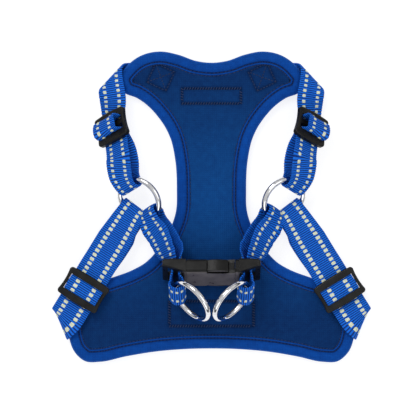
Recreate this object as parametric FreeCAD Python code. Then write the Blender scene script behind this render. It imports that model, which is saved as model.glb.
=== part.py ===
import FreeCAD, Part
import math
import os

"""No-pull dog harness, laid out with the outer face of its chest panel down and its straps on top.

Millimetres, +Z up. The origin is the middle of the footprint, at the level that the harness lies on.
+Y points to the neck and +X to the wearer's left once the chest panel hangs in front of the chest.
"""

# Webbing
WEB = 1.5                      # thickness of all webbing
GIRTH_WIDTH = 25.0
STRAP_WIDTH = 20.0             # shoulder and back straps
LAYER_GAP = 0.3                # free space kept between parts that slide or turn

# Padded panel, from the surface up
PANEL_BOTTOM = WEB + 0.1
SKIN = 0.8                     # thickness of the two fabrics
FOAM = 4.4
BINDING_WALL = 0.6
BINDING_WIDTH = 8.3
EDGE_INSET = 1.2               # the layers stop this far inside the bound edge
PANEL_TOP = PANEL_BOTTOM + 2 * BINDING_WALL + 2 * SKIN + FOAM

# Strap adjusters: length, depth, slot length, end bar and thickness; and how high the webbing rides over them
GIRTH_ADJUSTER = (33.4, 20.4, 26.4, 4.4, 3.6)
GIRTH_HUMP = 5.9
SHOULDER_ADJUSTER = (27.6, 21.6, 21.2, 5.0, 4.2)
SHOULDER_HUMP = 6.8

# Rings
WIRE = 2.0                     # wire radius of every ring
RING_RADIUS = 16.0             # centre line of every ring

# Half outline of the chest panel, from the middle of the neck edge round to the middle of the hem
NECK_NOTCH = 104.0
OUTLINE = [
    (-11.0, 105.3), (-24.0, 109.8), (-37.0, 112.1), (-50.0, 109.5), (-60.4, 102.2), (-66.6, 92.6),
    (-63.2, 82.7), (-53.5, 78.4), (-45.5, 72.6), (-39.0, 65.6), (-33.3, 57.4), (-29.6, 49.5),
    (-26.3, 35.0), (-25.0, 13.0), (-25.8, -4.0), (-28.8, -13.5), (-34.0, -23.5), (-40.0, -32.3),
    (-47.3, -39.8), (-56.7, -45.3), (-69.0, -50.0), (-84.0, -54.6), (-96.5, -59.2), (-102.3, -66.5),
    (-103.6, -80.0), (-102.6, -94.5), (-98.8, -104.4), (-91.0, -111.2), (-80.0, -111.6), (-62.0, -107.8),
    (-40.0, -104.2), (-20.0, -102.5),
]
HEM_MIDDLE = -102.0

# Webbing and patch sewn to the outer face
CHEST_BAND_Y = -78.0
CHEST_BAND_END = 95.0
PATCH_SIZE = (45.0, 11.5)
PATCH_Y = 80.0

# Side-release buckle: x runs along it, "rise" up its width and "face" out of its broad face
BUCKLE_CENTRE = FreeCAD.Vector(-0.5, -47.0, 23.9)
BUCKLE_LEAN = 23.0
BUCKLE_WIDTH = 29.0
BUCKLE_THICKNESS = 10.5
SOCKET_START = -34.5
BODY_START = -18.8
WINDOW_START = -3.0
MOUTH = 17.5
PLUG_BASE_END = 21.0
PLUG_END = 35.5
FRAME_END = 5.2                # thickness of the end frames at their outer bar
SLOT_HALF_LENGTH = 10.7
SLOT = 4.0                     # width of each strap slot in the end frames
BODY_ROUND = 2.6               # on the long edges of the body
CROSS_BAR = 3.6                # width of each end and middle bar
CAVITY_HALF_WIDTH = 11.6
CAVITY_THICKNESS = 6.0
PRONG_THICKNESS = 5.4
BUTTON_THICKNESS = 9.0         # of a prong where it is pressed
SCOOP_HALF_WIDTH = 11.1        # of the socket's plates between the buttons
BUTTON_BASE = 13.3             # the button's underside, middle line to underside
BUTTON_CREST = 15.0            # and its crest
GROOVE_DEPTH = 0.45            # of the line round the socket, where the body meets its frame
TONGUE_HALF_WIDTH = 2.2


def vec(x, y, z=0.0):
    return FreeCAD.Vector(x, y, z)


def unit(v):
    return v / v.Length


def export(name, shape):
    shape.exportStep("parts/" + name + ".step")


def mirrored(shape):
    """The same shape on the other side of the middle plane."""
    return shape.mirror(vec(0, 0), vec(1, 0))


# ---------------------------------------------------------------- strips of webbing

def sections(path, width, thickness=WEB):
    """Rectangles across a strap. A path is a list of (middle of the strap, direction of its width).

    A third item is the share of the full width there, or None for an oblique section, whose width vector is
    used as it is, with its own length.
    """
    wires = []
    last = len(path) - 1
    for i in range(len(path)):
        before = path[max(i - 1, 0)][0]
        after = path[min(i + 1, last)][0]
        along = unit(after - before)
        across = path[i][1]
        share = path[i][2] if len(path[i]) > 2 else 1.0
        if share is not None:
            across = unit(across - along * across.dot(along)) * share
        normal = unit(along.cross(across))
        half_width = across * (width / 2)
        half_depth = normal * (thickness / 2)
        middle = path[i][0]
        corners = [
            middle - half_width - half_depth,
            middle + half_width - half_depth,
            middle + half_width + half_depth,
            middle - half_width + half_depth,
        ]
        wires.append(Part.makePolygon(corners + corners[:1]))
    return wires


def strip(wires):
    """One solid piece of webbing through its cross-sections."""
    return Part.makeLoft(wires, True, True)


def turn(hub, away, front, across, radius, share=1.0, steps=8):
    """Half a turn round a bar at hub, from the front layer to the back layer."""
    path = []
    for i in range(steps + 1):
        angle = math.pi * i / steps
        point = hub + front * (radius * math.cos(angle)) - away * (radius * math.sin(angle))
        path.append((point, across, share))
    return path


def slanted_fold(start, along, crease, reach, rise, sweep, steps=8):
    """A turn upwards over a slanted crease, as flat webbing folds: it comes back in a new direction.

    Its sections run along the crease, so the webbing lies on a cylinder, "reach" deep and 2 * "rise" high.
    """
    lean = along.dot(crease)
    square = math.sqrt(1 - lean * lean)
    out = unit(along - crease * lean)
    drift = (reach + rise) / 2 * lean / square
    path = []
    for i in range(steps + 1):
        angle = math.radians(sweep) * i / steps
        point = start + out * (reach * math.sin(angle)) + crease * (drift * angle)
        point = point + vec(0, 0, rise * (1 - math.cos(angle)))
        path.append((point, crease * (-1 / square), None))
    return path


# ---------------------------------------------------------------- rings

def placed(shape, origin, x_axis, z_axis):
    """Moves a shape from the origin so that its own X and Z point along the two axes."""
    x_axis = unit(x_axis)
    z_axis = unit(z_axis - x_axis * z_axis.dot(x_axis))
    y_axis = z_axis.cross(x_axis)
    matrix = FreeCAD.Matrix(
        x_axis.x, y_axis.x, z_axis.x, origin.x,
        x_axis.y, y_axis.y, z_axis.y, origin.y,
        x_axis.z, y_axis.z, z_axis.z, origin.z,
        0, 0, 0, 1,
    )
    result = shape.copy()
    result.Placement = FreeCAD.Placement(matrix).multiply(result.Placement)
    return result


def round_ring(centre, level, normal):
    """A closed ring of round wire. "level" is its level diameter."""
    return placed(Part.makeTorus(RING_RADIUS, WIRE), centre, level, normal)


# ---------------------------------------------------------------- padded panel

def panel_curve():
    """The bound edge of the panel as one closed curve."""
    left = [vec(x, y) for x, y in OUTLINE]
    right = [vec(-x, y) for x, y in reversed(OUTLINE)]
    points = [vec(0, NECK_NOTCH)] + left + [vec(0, HEM_MIDDLE)] + right
    curve = Part.BSplineCurve()
    curve.interpolate(Points=points, PeriodicFlag=True)
    return curve


def drawn_in(curve, inset, count=180):
    """The same closed curve, a fixed distance further in, without the points a tight bend brings nearer."""
    first = curve.FirstParameter
    span = curve.LastParameter - first
    edge = []
    points = []
    for i in range(count):
        parameter = first + span * i / count
        tangent = unit(curve.tangent(parameter)[0])
        edge.append(curve.value(parameter))
        points.append(edge[-1] + vec(-tangent.y, tangent.x) * inset)
    tolerance = 0.02
    kept = [p for p in points if min((p - e).Length for e in edge) > inset - tolerance]
    inner = Part.BSplineCurve()
    inner.interpolate(Points=kept, PeriodicFlag=True)
    return inner


def panel_prism(curve, inset, low, high):
    """The panel's outline, drawn in by an inset, between two levels."""
    if inset:
        curve = drawn_in(curve, inset)
    face = Part.Face(Part.Wire(curve.toShape()))
    face.translate(vec(0, 0, low))
    return face.extrude(vec(0, 0, high - low))


def panel_layers():
    """Foam between two fabrics, and the padded binding that wraps their edge."""
    curve = panel_curve()
    shell_low = PANEL_BOTTOM + BINDING_WALL
    foam_low = shell_low + SKIN
    lining_low = foam_low + FOAM
    lining_high = lining_low + SKIN
    binding = panel_prism(curve, 0, PANEL_BOTTOM, PANEL_TOP)
    binding = binding.cut(panel_prism(curve, EDGE_INSET, shell_low, lining_high))
    binding = binding.cut(panel_prism(curve, BINDING_WIDTH, PANEL_BOTTOM - 1, PANEL_TOP + 1))
    return {
        "outer_shell": panel_prism(curve, EDGE_INSET, shell_low, foam_low),
        "foam_core": panel_prism(curve, EDGE_INSET, foam_low, lining_low),
        "inner_lining": panel_prism(curve, EDGE_INSET, lining_low, lining_high),
        "edge_binding": binding,
    }


def thread_frame(middle, size, turn_degrees):
    """A stitched rectangle on the lining: a raised line of thread."""
    line = 0.9
    lining_top = PANEL_TOP - BINDING_WALL
    thickness = 0.35
    outer = Part.makeBox(size[0], size[1], thickness, vec(-size[0] / 2, -size[1] / 2))
    corner = vec(line - size[0] / 2, line - size[1] / 2)
    inner = Part.makeBox(size[0] - 2 * line, size[1] - 2 * line, thickness, corner)
    frame = outer.cut(inner)
    frame.rotate(vec(0, 0), vec(0, 0, 1), turn_degrees)
    frame.translate(vec(middle[0], middle[1], lining_top))
    return frame


def lining_stitches():
    """The seams that hold the webbing and the patch, as they show on the lining."""
    shoulder_box = (15.0, 15.0)
    shoulder_place = (36.5, 93.6)
    lean = 25.0
    chest_box = (62.0, 19.0)
    return Part.makeCompound([
        thread_frame((0, PATCH_Y), PATCH_SIZE, 0),
        thread_frame((0, CHEST_BAND_Y + 1.4), chest_box, 0),
        thread_frame((-shoulder_place[0], shoulder_place[1]), shoulder_box, -lean),
        thread_frame(shoulder_place, shoulder_box, lean),
    ])


# ---------------------------------------------------------------- strap adjusters

def slider(length, depth, slot_length, bar, thickness):
    """A three-bar adjuster, lying flat: X along its bars, its underside at z = 0."""
    waist = 1.2
    middle_bar = 3.2
    half_length = length / 2
    half_depth = depth / 2
    bow = 1.0
    corners = [
        vec(-half_length, half_depth),
        vec(half_length, half_depth),
        vec(half_length, -half_depth),
        vec(-half_length, -half_depth),
    ]
    middles = [
        vec(0, half_depth + bow),
        vec(half_length - waist, 0),
        vec(0, -half_depth - bow),
        vec(waist - half_length, 0),
    ]
    edges = [Part.Arc(corners[i], middles[i], corners[(i + 1) % 4]).toShape() for i in range(4)]
    plate = Part.Face(Part.Wire(edges)).extrude(vec(0, 0, thickness))
    uprights = [e for e in plate.Edges if abs(e.tangentAt(e.FirstParameter).z) > 0.99]
    plate = plate.makeFillet(2.2, uprights)
    rims = [e for e in plate.Edges if min(abs(e.CenterOfMass.z), abs(e.CenterOfMass.z - thickness)) < 0.01]
    plate = plate.makeFillet(1.0, rims)
    slot_depth = half_depth - bar - middle_bar / 2
    for side in (-1, 1):
        low = middle_bar / 2 if side > 0 else -middle_bar / 2 - slot_depth
        slot = Part.makeBox(slot_length, slot_depth, 3 * thickness, vec(-slot_length / 2, low, -thickness))
        plate = plate.cut(slot)
    return plate


def hump(width, rise, thickness):
    """The webbing that climbs through one slot, over the middle bar and down the other, in slider's frame."""
    across = vec(1, 0)
    top = max(2.6, thickness)
    climb = [(-3.9, 0.8), (-3.8, top), (-2.8, rise - 0.6)]
    profile = climb + [(0, rise)] + [(-t, n) for t, n in reversed(climb)]
    path = [(vec(0, t, n), across) for t, n in profile]
    return strip(sections(path, width))


# ---------------------------------------------------------------- straps of the left side

RING_CENTRE = vec(-51.8, 5.4, 17.0)
RING_LEVEL = unit(vec(0.656, -0.755))                  # the ring's level diameter
RING_TILT = 40.0
RING_UPHILL = vec(
    -RING_LEVEL.y * math.cos(math.radians(RING_TILT)),
    RING_LEVEL.x * math.cos(math.radians(RING_TILT)),
    math.sin(math.radians(RING_TILT)),
)
RING_NORMAL = RING_LEVEL.cross(RING_UPHILL)


def ring_point(angle):
    """A point of the ring's wire, the outward direction there, and the wire's direction."""
    outward = RING_LEVEL * math.cos(math.radians(angle)) + RING_UPHILL * math.sin(math.radians(angle))
    tangent = RING_UPHILL * math.cos(math.radians(angle)) - RING_LEVEL * math.sin(math.radians(angle))
    return RING_CENTRE + outward * RING_RADIUS, outward, tangent


# Girth strap: a straight, level run between the ring and the adjuster
GIRTH_HEADING = unit(vec(-0.522, -0.853))
GIRTH_ACROSS = vec(-GIRTH_HEADING.y, GIRTH_HEADING.x) * -1
GIRTH_LEVEL = 11.8
GIRTH_SLIDER = vec(-92.0, -59.6, GIRTH_LEVEL)
GIRTH_RING_ANGLE = -74.0
GIRTH_LOOP = 4.4
GIRTH_PINCH = 0.8              # share of its width that the webbing keeps where it bunches up in the ring

# Shoulder strap: a straight run through the adjuster, rising to the ring
SHOULDER_SLIDER = vec(-69.4, 56.4, 16.0)
SHOULDER_HEADING = unit(vec(0.11, -0.89, 0.42))
SHOULDER_ACROSS = unit(vec(0.77, 0.42, 0.48))
SHOULDER_RING_ANGLE = 172.0
SHOULDER_LOOP = 4.4
SHOULDER_PINCH = 0.9


def girth_path():
    """Middle line of the girth webbing: chest band, round the panel's end, adjuster, ring and back."""
    wire, outward, tangent = ring_point(GIRTH_RING_ANGLE)
    across = tangent * -1
    leaving = outward * 0.45 + GIRTH_HEADING * 0.55
    leaving = unit(leaving - across * leaving.dot(across))
    front = unit(leaving.cross(across))
    if front.z < 0:
        front = front * -1
    hub = wire - leaving * 3.0 + front * 0.6
    level = vec(0, 0, GIRTH_LEVEL)
    run = vec(GIRTH_SLIDER.x, GIRTH_SLIDER.y)
    under = [
        (vec(-CHEST_BAND_END, CHEST_BAND_Y, WEB / 2), vec(0, 1), None),
        (vec(-106.4, -82.2, 0.8), vec(-0.32, 0.95)),
        (vec(-109.0, -83.0, 2.4), vec(-0.28, 0.96)),
        (vec(-109.7, -83.2, 6.0), vec(-0.28, 0.96)),
        (vec(-108.8, -82.7, 9.3), vec(-0.33, 0.94)),
        (vec(-106.0, -80.4, 11.4), vec(-0.50, 0.87)),
        (vec(-101.8, -75.4, 12.0), vec(-0.85, 0.85)),
    ]
    outer = [(run - GIRTH_HEADING * d + level, GIRTH_ACROSS) for d in (-12.0, 0.0, 28.0, 42.0)]
    outer.append((run - GIRTH_HEADING * 52.0 + level, GIRTH_ACROSS, 0.9))
    loop = turn(hub, leaving, front, across, GIRTH_LOOP, GIRTH_PINCH)
    inner = [
        (run - GIRTH_HEADING * 52.0 - GIRTH_ACROSS * 1.2 + vec(0, 0, 3.6), GIRTH_ACROSS, 0.9),
        (run - GIRTH_HEADING * 46.0 - GIRTH_ACROSS * 2.2 + vec(0, 0, 5.0), GIRTH_ACROSS),
        (run - GIRTH_HEADING * 36.0 - GIRTH_ACROSS * 2.4 + vec(0, 0, 7.4), GIRTH_ACROSS),
        (run - GIRTH_HEADING * 24.0 + vec(0, 0, GIRTH_LEVEL - WEB - LAYER_GAP), GIRTH_ACROSS),
        (run + vec(0, 0, GIRTH_LEVEL - WEB - LAYER_GAP), GIRTH_ACROSS),
    ]
    return under + outer, loop, inner


def shoulder_path():
    """Middle line of the shoulder webbing: panel, over the crest, adjuster, ring and back."""
    wire, outward, tangent = ring_point(SHOULDER_RING_ANGLE)
    across = unit(tangent) * -1
    leaving = outward
    front = unit(across.cross(leaving))
    if front.z < 0:
        front = front * -1
    hub = wire - leaving * 3.0
    crease = unit(vec(-0.68, -0.733))
    heading = unit(vec(-0.993, 0.12))
    start = vec(-66.3, 95.0, WEB / 2)
    anchor = [
        (vec(-26.5, 90.2, WEB / 2), vec(0.12, 1)),
        (vec(-50.0, 93.0, WEB / 2), vec(0.12, 1)),
    ]
    fold = slanted_fold(start, heading, crease, 3.2, 4.9, 172.0)
    run = [(SHOULDER_SLIDER + SHOULDER_HEADING * d, SHOULDER_ACROSS) for d in (-11.6, 0.0, 12.0, 24.0)]
    near = [
        (vec(-66.2, 27.6, 24.2), vec(0.70, 0.48, 0.53)),
        (vec(-64.9, 20.6, 22.8), vec(0.62, 0.50, 0.60)),
    ]
    loop = turn(hub, leaving, front, across, SHOULDER_LOOP, SHOULDER_PINCH)
    beneath = SHOULDER_HEADING.cross(SHOULDER_ACROSS)
    if beneath.z > 0:
        beneath = beneath * -1
    inner = [
        (vec(-59.6, 24.0, 14.8), vec(0.62, 0.50, 0.60)),
        (vec(-60.4, 33.0, 16.0), vec(0.68, 0.46, 0.57)),
        (vec(-63.4, 42.5, 16.8), SHOULDER_ACROSS),
        (SHOULDER_SLIDER + SHOULDER_HEADING * 7.0 + beneath * 3.0, SHOULDER_ACROSS),
        (SHOULDER_SLIDER + SHOULDER_HEADING * 1.0 + beneath * (WEB + LAYER_GAP), SHOULDER_ACROSS),
    ]
    after_fold = [(vec(-71.0, 77.5, 11.6), vec(0.88, 0.40, 0.28))]
    return anchor + fold + after_fold + run + near, loop, inner


def split_strap(front_path, loop, inner, width):
    """Cuts one strap at the start of its ring loop, so that both solids share a cross-section."""
    wires = sections(front_path + loop + inner, width)
    cut = len(front_path)
    return strip(wires[:cut + 1]), strip(wires[cut:])


def slider_set(middle, heading, across, width, body, rise, thickness):
    """An adjuster and the webbing over its middle bar, set on a strap."""
    normal = across.cross(heading)
    if normal.z < 0:
        across = across * -1
        normal = normal * -1
    seat = middle + normal * (WEB / 2 + LAYER_GAP)
    return placed(body, seat, across, normal), placed(hump(width, rise, thickness), seat, across, normal)


# ---------------------------------------------------------------- buckle

BUCKLE_RISE = vec(0, math.sin(math.radians(BUCKLE_LEAN)), math.cos(math.radians(BUCKLE_LEAN)))
BUCKLE_FACE = vec(0, -math.cos(math.radians(BUCKLE_LEAN)), math.sin(math.radians(BUCKLE_LEAN)))


def in_buckle(shape):
    """Moves a shape drawn flat, with x along the buckle, y up its width and z out of its face."""
    return placed(shape, BUCKLE_CENTRE, vec(1, 0), BUCKLE_FACE)


def block(x_low, x_high, half_y, half_z):
    """A box that is centred on the buckle's long axis."""
    return Part.makeBox(x_high - x_low, 2 * half_y, 2 * half_z, vec(x_low, -half_y, -half_z))


def rounded(shape, radius):
    """Rounds the edges that run along x."""
    edges = [e for e in shape.Edges if abs(e.tangentAt(e.FirstParameter).x) > 0.99]
    return shape.makeFillet(radius, edges)


def end_frame(outer_x, body_x):
    """The open frame at either end: a wedge with a flat back, as thick as the body where they meet."""
    back = -BUCKLE_THICKNESS / 2
    step = 1.0 if body_x > outer_x else -1.0
    profile = [
        vec(outer_x, back + 1.2, 0),
        vec(outer_x + step * 1.6, back, 0),
        vec(body_x, back, 0),
        vec(body_x, -back, 0),
        vec(outer_x + step * 3.4, back + FRAME_END + 0.6, 0),
        vec(outer_x, back + FRAME_END, 0),
    ]
    half = BUCKLE_WIDTH / 2
    face = Part.Face(Part.makePolygon([vec(p.x, -half, p.y) for p in profile + profile[:1]]))
    frame = face.extrude(vec(0, BUCKLE_WIDTH))
    sides = [e for e in frame.Edges if abs(abs(e.CenterOfMass.y) - half) < 0.01]
    rails = [e for e in sides if abs(e.CenterOfMass.x - body_x) > 0.5]
    return frame.makeFillet(1.1, rails)


def slots(first_bar_outer, direction):
    """The two slots, worked out from the outer face of the end bar."""
    shapes = []
    for i in range(2):
        start = first_bar_outer + direction * (CROSS_BAR + i * (SLOT + CROSS_BAR))
        end = start + direction * SLOT
        shapes.append(block(min(start, end), max(start, end), SLOT_HALF_LENGTH, BUCKLE_THICKNESS))
    return shapes


def scoop(side):
    """What is cut from the edge of the socket's plates, so that fingers reach the button."""
    clear = BUCKLE_WIDTH / 2 + 2
    outer_start = vec(WINDOW_START, clear)
    start = vec(WINDOW_START, SCOOP_HALF_WIDTH + 0.5)
    deepest = vec(5.0, SCOOP_HALF_WIDTH)
    bend = vec(12.0, SCOOP_HALF_WIDTH + 0.3)
    end = vec(MOUTH + 1, BUCKLE_WIDTH / 2 - 1.4)
    outer_end = vec(MOUTH + 1, clear)
    edges = [
        Part.LineSegment(outer_start, start).toShape(),
        Part.LineSegment(start, deepest).toShape(),
        Part.Arc(deepest, bend, end).toShape(),
        Part.LineSegment(end, outer_end).toShape(),
        Part.LineSegment(outer_end, outer_start).toShape(),
    ]
    shape = Part.Face(Part.Wire(edges)).extrude(vec(0, 0, 2 * BUCKLE_THICKNESS))
    shape.translate(vec(0, 0, -BUCKLE_THICKNESS))
    if side < 0:
        shape = shape.mirror(vec(0, 0), vec(0, 1))
    return shape


def parting_groove(x, width, depth):
    """A shallow groove right round the body."""
    half = BUCKLE_WIDTH / 2
    around = block(x, x + width, half + 1, BUCKLE_THICKNESS)
    core = rounded(block(x - 1, x + width + 1, half - depth, BUCKLE_THICKNESS / 2 - depth), 2.4)
    return around.cut(core)


def buckle_socket():
    """The half that stays with the left back strap: end frame, body and two plates over the prongs."""
    half = BUCKLE_WIDTH / 2
    body = rounded(block(BODY_START, MOUTH - LAYER_GAP, half, BUCKLE_THICKNESS / 2), BODY_ROUND)
    frame = end_frame(SOCKET_START, BODY_START + 1)
    shape = body.fuse(frame)
    for slot in slots(SOCKET_START, 1):
        shape = shape.cut(slot)
    shape = shape.cut(parting_groove(BODY_START + 1.0, 0.7, GROOVE_DEPTH))
    cavity = block(WINDOW_START - 10, MOUTH, CAVITY_HALF_WIDTH, CAVITY_THICKNESS / 2)
    window = block(WINDOW_START, MOUTH, half + 1, CAVITY_THICKNESS / 2)
    shape = shape.cut(cavity).cut(window).cut(scoop(1)).cut(scoop(-1))
    post_length = 3.8
    post_width = 1.2
    post_inner = CAVITY_HALF_WIDTH - 1.0
    for side in (-1, 1):
        low = post_inner if side > 0 else -post_inner - post_width
        corner = vec(MOUTH - 0.6 - post_length, low, -CAVITY_THICKNESS / 2 - 0.5)
        shape = shape.fuse(Part.makeBox(post_length, post_width, CAVITY_THICKNESS + 1, corner))
    return in_buckle(shape.removeSplitter())


def buckle_plug():
    """The half on the right back strap: base, end frame and the guide tongue between the prongs."""
    base = rounded(block(MOUTH, PLUG_BASE_END, BUCKLE_WIDTH / 2, BUCKLE_THICKNESS / 2), BODY_ROUND)
    frame = end_frame(PLUG_END, PLUG_BASE_END - 1)
    shape = base.fuse(frame)
    for slot in slots(PLUG_END, -1):
        shape = shape.cut(slot)
    tongue = rounded(block(-10.0, MOUTH + 1, TONGUE_HALF_WIDTH, CAVITY_THICKNESS / 2 - 0.4), 0.8)
    return in_buckle(shape.fuse(tongue).removeSplitter())


def prong_button(nose, hook):
    """The thick, rounded outside of a prong, where it is pressed."""
    crest = vec((nose.x + hook.x) / 2, BUTTON_CREST)
    under_nose = vec(nose.x, BUTTON_BASE)
    under_hook = vec(hook.x, BUTTON_BASE)
    edges = [
        Part.LineSegment(under_nose, nose).toShape(),
        Part.Arc(nose, crest, hook).toShape(),
        Part.LineSegment(hook, under_hook).toShape(),
        Part.LineSegment(under_hook, under_nose).toShape(),
    ]
    button = Part.Face(Part.Wire(edges)).extrude(vec(0, 0, BUTTON_THICKNESS))
    button.translate(vec(0, 0, -BUTTON_THICKNESS / 2))
    outer = [e for e in button.Edges if e.CenterOfMass.y > nose.y + 0.5]
    return button.makeFillet(0.8, outer)


def prong(side):
    """A springy release prong: arm, hooked button and sloping nose. side is +1 for the upper one."""
    half = PRONG_THICKNESS / 2
    root = vec(MOUTH - LAYER_GAP, 9.4)
    heel = vec(12.6, 9.9)
    hook = vec(12.4, 13.8)
    nose = vec(-2.3, 13.9)
    shoulder = vec(-2.7, 11.2)
    tip = vec(-9.6, 7.0)
    inner_tip = vec(-8.0, 5.9)
    inner_arm = vec(10.0, 6.7)
    inner_root = vec(MOUTH - LAYER_GAP, 5.6)
    edges = [
        Part.LineSegment(root, heel).toShape(),
        Part.LineSegment(heel, hook).toShape(),
        Part.Arc(hook, vec(4.6, BUTTON_CREST), nose).toShape(),
        Part.LineSegment(nose, shoulder).toShape(),
        Part.LineSegment(shoulder, tip).toShape(),
        Part.LineSegment(tip, inner_tip).toShape(),
        Part.LineSegment(inner_tip, inner_arm).toShape(),
        Part.LineSegment(inner_arm, inner_root).toShape(),
        Part.LineSegment(inner_root, root).toShape(),
    ]
    shape = Part.Face(Part.Wire(edges)).extrude(vec(0, 0, 2 * half))
    shape.translate(vec(0, 0, -half))
    shape = shape.fuse(prong_button(nose, hook)).removeSplitter()
    if side < 0:
        shape = shape.mirror(vec(0, 0), vec(0, 1))
    return in_buckle(shape)


# ---------------------------------------------------------------- back strap of the left side

BACK_RING_ANGLE = -6.0
BACK_LOOP = 4.1
BACK_PINCH = 0.85
BACK_SPLIT_Y = -30.0           # the right strap bends here when the buckle opens

# Leash ring: it swings about the line that the end loop turns round
LEASH_LOOP = 5.2
LEASH_HUB = vec(-24.3, -59.9, 29.6)
LEASH_AXIS = unit(vec(0.036, -0.628, -0.780))
LEASH_REACH = unit(vec(0.731, -0.5125, 0.45))          # from the hub to the middle of the ring
LEASH_CENTRE = LEASH_HUB + LEASH_REACH * 13.9
LEASH_NORMAL = LEASH_AXIS.cross(LEASH_REACH)


def back_paths():
    """Middle lines of the back webbing's two layers, and its turns round the side ring and leash ring."""
    wire, outward, tangent = ring_point(BACK_RING_ANGLE)
    across = unit(tangent) * -1
    leaving = outward * 0.7 + vec(0.5, -0.85, 0.2) * 0.3
    leaving = unit(leaving - across * leaving.dot(across))
    front = unit(leaving.cross(across))
    if front.z < 0:
        front = front * -1
    hub = wire - leaving * 2.9
    slot_middle = SOCKET_START + 1.5 * CROSS_BAR + 4.0
    bar_clear = CROSS_BAR / 2 + WEB / 2 + LAYER_GAP
    in_slots = BUCKLE_CENTRE + vec(slot_middle, 0)
    stations = [
        (vec(-40.4, -13.6, 15.6), unit(vec(-0.74, -0.40, -0.54)), 4.0),
        (vec(-36.2, -19.6, 17.2), unit(vec(-0.72, -0.42, -0.55)), 4.0),
        (vec(-31.8, -27.4, 19.0), unit(vec(-0.60, -0.42, -0.68)), 3.4),
        (vec(-27.8, -35.4, 20.6), unit(vec(-0.32, -0.41, -0.85)), bar_clear),
        (in_slots - BUCKLE_FACE * 5.8, BUCKLE_RISE * -1, bar_clear),
        (in_slots + BUCKLE_FACE * 5.0, BUCKLE_RISE * -1, bar_clear),
    ]
    outer = []
    inner = []
    for i in range(len(stations)):
        point, width_way, spread = stations[i]
        before = stations[i - 1][0] if i else hub
        after = stations[i + 1][0] if i + 1 < len(stations) else LEASH_HUB
        side = unit((after - before).cross(width_way))
        if side.x > 0:
            side = side * -1
        outer.append((point + side * spread, width_way))
        inner.append((point - side * spread, width_way))
    ring_loop = turn(hub, leaving, front, across, BACK_LOOP, BACK_PINCH)
    toward = LEASH_HUB - stations[-1][0]
    toward = unit(toward - LEASH_AXIS * toward.dot(LEASH_AXIS))
    end_side = unit(toward.cross(LEASH_AXIS))
    if end_side.x > 0:
        end_side = end_side * -1
    end_loop = turn(LEASH_HUB, toward * -1, end_side, LEASH_AXIS, LEASH_LOOP)
    return outer, inner, ring_loop, end_loop


def whole_back_strap():
    """A back strap in one piece: both layers and both turns, sewn into a closed band."""
    outer, inner, ring_loop, end_loop = back_paths()
    path = outer + end_loop + inner[::-1] + ring_loop[::-1]
    wires = sections(path[-1:] + path + path[:1], STRAP_WIDTH)
    return Part.makeLoft(wires[1:-1], True, True, True)


def divided_back_strap():
    """A back strap in two parts, at the side ring and in the buckle, with a gap where they part."""
    outer, inner, ring_loop, end_loop = back_paths()
    lower = strip(sections(outer[1:] + end_loop + inner[1:][::-1], STRAP_WIDTH))
    upper = strip(sections(inner[:4][::-1] + ring_loop[::-1] + outer[:4], STRAP_WIDTH))
    far = 200.0
    half_gap = LAYER_GAP / 2
    below = Part.makeBox(2 * far, far, 2 * far, vec(-far, BACK_SPLIT_Y - half_gap - far, -far))
    above = Part.makeBox(2 * far, far, 2 * far, vec(-far, BACK_SPLIT_Y + half_gap, -far))
    return upper.common(above), lower.common(below)


# ---------------------------------------------------------------- the harness

def build():
    nodes = panel_layers()
    nodes["lining_stitches"] = lining_stitches()
    nodes["chest_band"] = Part.makeBox(2 * CHEST_BAND_END, GIRTH_WIDTH, WEB,
                                       vec(-CHEST_BAND_END, CHEST_BAND_Y - GIRTH_WIDTH / 2))
    nodes["neck_patch"] = Part.makeBox(PATCH_SIZE[0], PATCH_SIZE[1], WEB,
                                       vec(-PATCH_SIZE[0] / 2, PATCH_Y - PATCH_SIZE[1] / 2))
    girth, girth_loop = split_strap(*girth_path(), GIRTH_WIDTH)
    shoulder, shoulder_loop = split_strap(*shoulder_path(), STRAP_WIDTH)
    ring_end, buckle_end = divided_back_strap()
    girth_slider, girth_hump = slider_set(
        GIRTH_SLIDER, GIRTH_HEADING, GIRTH_ACROSS, GIRTH_WIDTH, slider(*GIRTH_ADJUSTER), GIRTH_HUMP,
        GIRTH_ADJUSTER[-1])
    shoulder_slider, shoulder_hump = slider_set(
        SHOULDER_SLIDER, SHOULDER_HEADING, SHOULDER_ACROSS, STRAP_WIDTH, slider(*SHOULDER_ADJUSTER), SHOULDER_HUMP,
        SHOULDER_ADJUSTER[-1])
    left = {
        "girth_strap": girth,
        "girth_ring_loop": girth_loop,
        "girth_slider": girth_slider,
        "girth_slider_webbing": girth_hump,
        "shoulder_strap": shoulder,
        "shoulder_ring_loop": shoulder_loop,
        "shoulder_slider": shoulder_slider,
        "shoulder_slider_webbing": shoulder_hump,
        "o_ring": round_ring(RING_CENTRE, RING_LEVEL, RING_NORMAL),
        "leash_ring": round_ring(LEASH_CENTRE, LEASH_REACH, LEASH_NORMAL),
    }
    for name, shape in left.items():
        nodes["left_" + name] = shape
        nodes["right_" + name] = mirrored(shape)
    nodes["left_back_strap"] = whole_back_strap()
    nodes["right_back_strap_ring_end"] = mirrored(ring_end)
    nodes["right_back_strap_buckle_end"] = mirrored(buckle_end)
    nodes["buckle_socket"] = buckle_socket()
    nodes["buckle_plug"] = buckle_plug()
    nodes["upper_release_prong"] = prong(1)
    nodes["lower_release_prong"] = prong(-1)
    return nodes


def main():
    os.makedirs("parts", exist_ok=True)
    nodes = build()
    for name, shape in nodes.items():
        export(name, shape)
        box = shape.BoundBox
        print(f"{name:32s} solids {len(shape.Solids)} valid {shape.isValid()} volume {shape.Volume:9.1f} "
              f"x {box.XMin:.1f} {box.XMax:.1f} y {box.YMin:.1f} {box.YMax:.1f} z {box.ZMin:.2f} {box.ZMax:.2f}")


main()
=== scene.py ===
import math

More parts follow.
